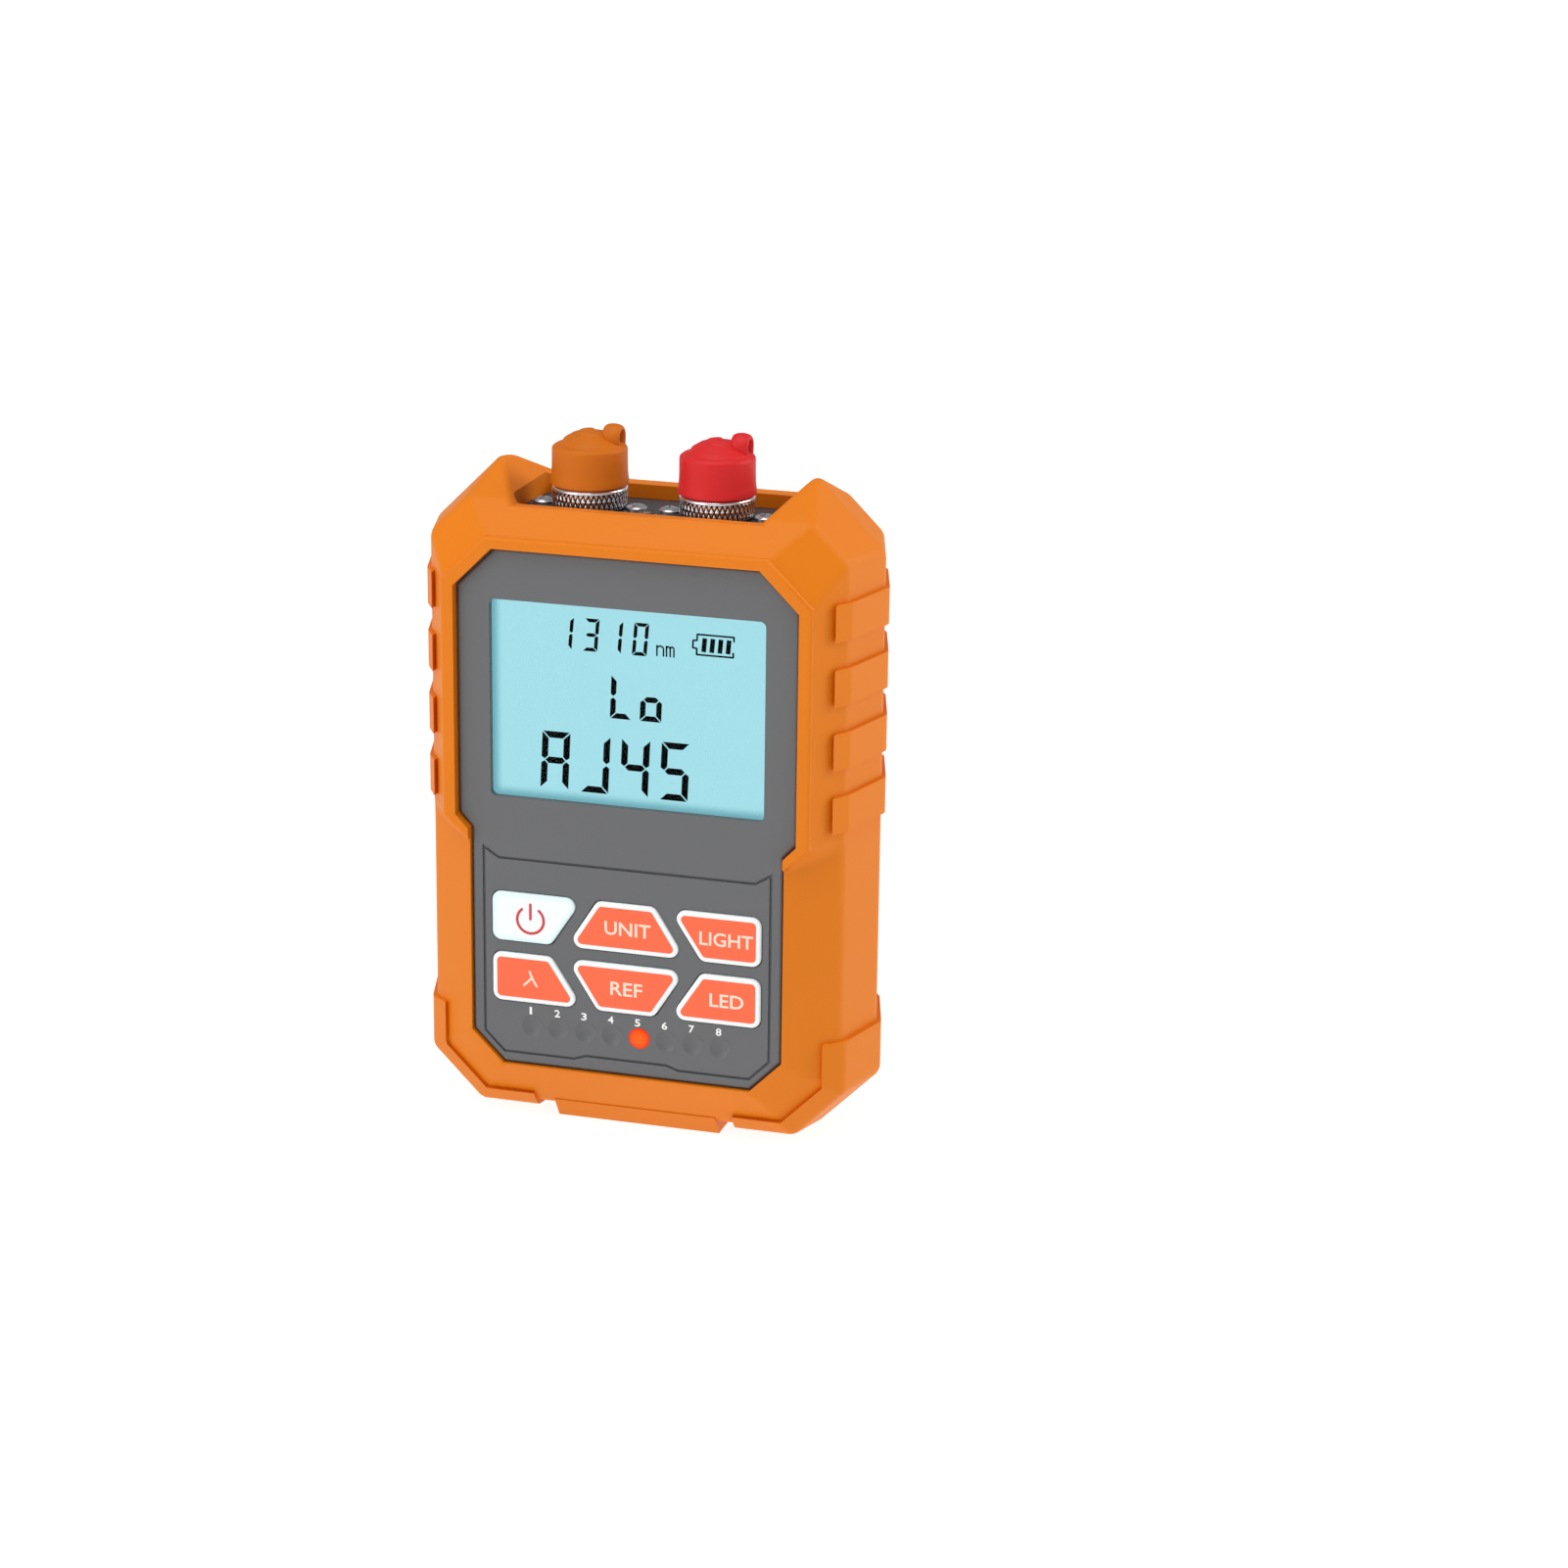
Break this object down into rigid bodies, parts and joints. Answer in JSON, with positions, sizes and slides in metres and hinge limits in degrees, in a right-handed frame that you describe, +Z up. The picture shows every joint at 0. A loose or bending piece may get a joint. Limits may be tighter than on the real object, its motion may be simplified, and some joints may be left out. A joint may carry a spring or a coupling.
{
  "type": "optical power meter",
  "caption": "Hand-held optical power meter in a chamfered rubber boot, with a backlit display, slanted keys, a row of test lamps, capped fibre ports and a network socket.",
  "frame": {"origin": "under the middle of the boot, on the surface that the meter stands on", "axes": "+X to the right of someone who reads the display, +Y away from them, +Z up to the ports"},
  "size_m": [0.0782, 0.0364, 0.1179],
  "materials": {
    "boot_rubber": "satin, moulded",
    "case_grey": "fine matt grain",
    "case_dark": "fine matt grain",
    "window_clear": "clear, glossy",
    "lcd_blue": "backlit display, satin",
    "tray_white": "matt",
    "strip_rubber": "matt",
    "key_coral": "satin",
    "key_white": "satin",
    "lamp_clear": "smoked, glossy",
    "lamp_lit": "lit, glossy",
    "mat_silicone": "matt",
    "contact_metal": "thin sprung sheet",
    "gold_plate": "plated, glossy",
    "board_green": "solder mask, satin",
    "chip_black": "matt",
    "screw_steel": "bright",
    "jack_black": "satin",
    "port_chrome": "nickel plated, polished",
    "flange_dark": "dark satin",
    "ceramic_white": "glazed",
    "cap_orange": "satin, moulded",
    "cap_red": "satin, moulded",
    "laser_brass": "turned",
    "torch_lens": "clear, glossy",
    "cell_sleeve": "dark sleeve, satin"
  },
  "bodies": {
    "meter": {"rubber_boot": "boot_rubber", "front_case": "case_grey", "rear_case": "case_grey", "port_plate": "case_dark", "lcd_window": "window_clear", "lcd_panel": "lcd_blue", "lcd_frame": "tray_white", "lcd_strip": "strip_rubber", "lamp_1": "lamp_clear", "lamp_2": "lamp_clear", "lamp_3": "lamp_clear", "lamp_4": "lamp_clear", "lamp_5": "lamp_lit", "lamp_6": "lamp_clear", "lamp_7": "lamp_clear", "lamp_8": "lamp_clear", "keypad_mat": "mat_silicone", "dome_switches": "contact_metal", "main_board": "board_green", "board_chips": "chip_black", "board_screws": "screw_steel", "case_screws": "screw_steel", "buzzer": "chip_black", "network_jack": "jack_black", "network_contacts": "gold_plate", "meter_flange": "flange_dark", "meter_sleeve": "port_chrome", "meter_ferrule": "ceramic_white", "laser_flange": "flange_dark", "laser_sleeve": "port_chrome", "laser_ferrule": "ceramic_white", "port_screws": "port_chrome", "photodiode_can": "gold_plate", "laser_module": "laser_brass", "torch_lamp": "torch_lens", "battery_1": "cell_sleeve", "battery_2": "cell_sleeve", "battery_3": "cell_sleeve", "battery_springs": "contact_metal", "battery_plates": "contact_metal"},
    "power_key": {"key_power": "key_white"},
    "unit_key": {"key_unit": "key_coral"},
    "light_key": {"key_light": "key_coral"},
    "wavelength_key": {"key_wavelength": "key_coral"},
    "ref_key": {"key_ref": "key_coral"},
    "led_key": {"key_led": "key_coral"},
    "meter_cap": {"meter_cap": "cap_orange"},
    "laser_cap": {"laser_cap": "cap_red"},
    "battery_door": {"battery_door": "case_grey"}
  },
  "joints": [
    {"name": "power_key_press", "type": "slide", "parent": "meter", "child": "power_key", "axis": [0, 1, 0], "range_m": [0, 0.0008], "stiffness_N_per_m": 300},
    {"name": "unit_key_press", "type": "slide", "parent": "meter", "child": "unit_key", "axis": [0, 1, 0], "range_m": [0, 0.0008], "stiffness_N_per_m": 300},
    {"name": "light_key_press", "type": "slide", "parent": "meter", "child": "light_key", "axis": [0, 1, 0], "range_m": [0, 0.0008], "stiffness_N_per_m": 300},
    {"name": "wavelength_key_press", "type": "slide", "parent": "meter", "child": "wavelength_key", "axis": [0, 1, 0], "range_m": [0, 0.0008], "stiffness_N_per_m": 300},
    {"name": "ref_key_press", "type": "slide", "parent": "meter", "child": "ref_key", "axis": [0, 1, 0], "range_m": [0, 0.0008], "stiffness_N_per_m": 300},
    {"name": "led_key_press", "type": "slide", "parent": "meter", "child": "led_key", "axis": [0, 1, 0], "range_m": [0, 0.0008], "stiffness_N_per_m": 300},
    {"name": "meter_cap_lift", "type": "slide", "parent": "meter", "child": "meter_cap", "axis": [0, 0, 1], "range_m": [0, 0.016]},
    {"name": "laser_cap_lift", "type": "slide", "parent": "meter", "child": "laser_cap", "axis": [0, 0, 1], "range_m": [0, 0.016]},
    {"name": "battery_door_hinge", "type": "hinge", "parent": "meter", "child": "battery_door", "pos_m": [0, 0.01605, 0.01925], "axis": [-1, 0, 0], "range_deg": [0, 90]}
  ]
}
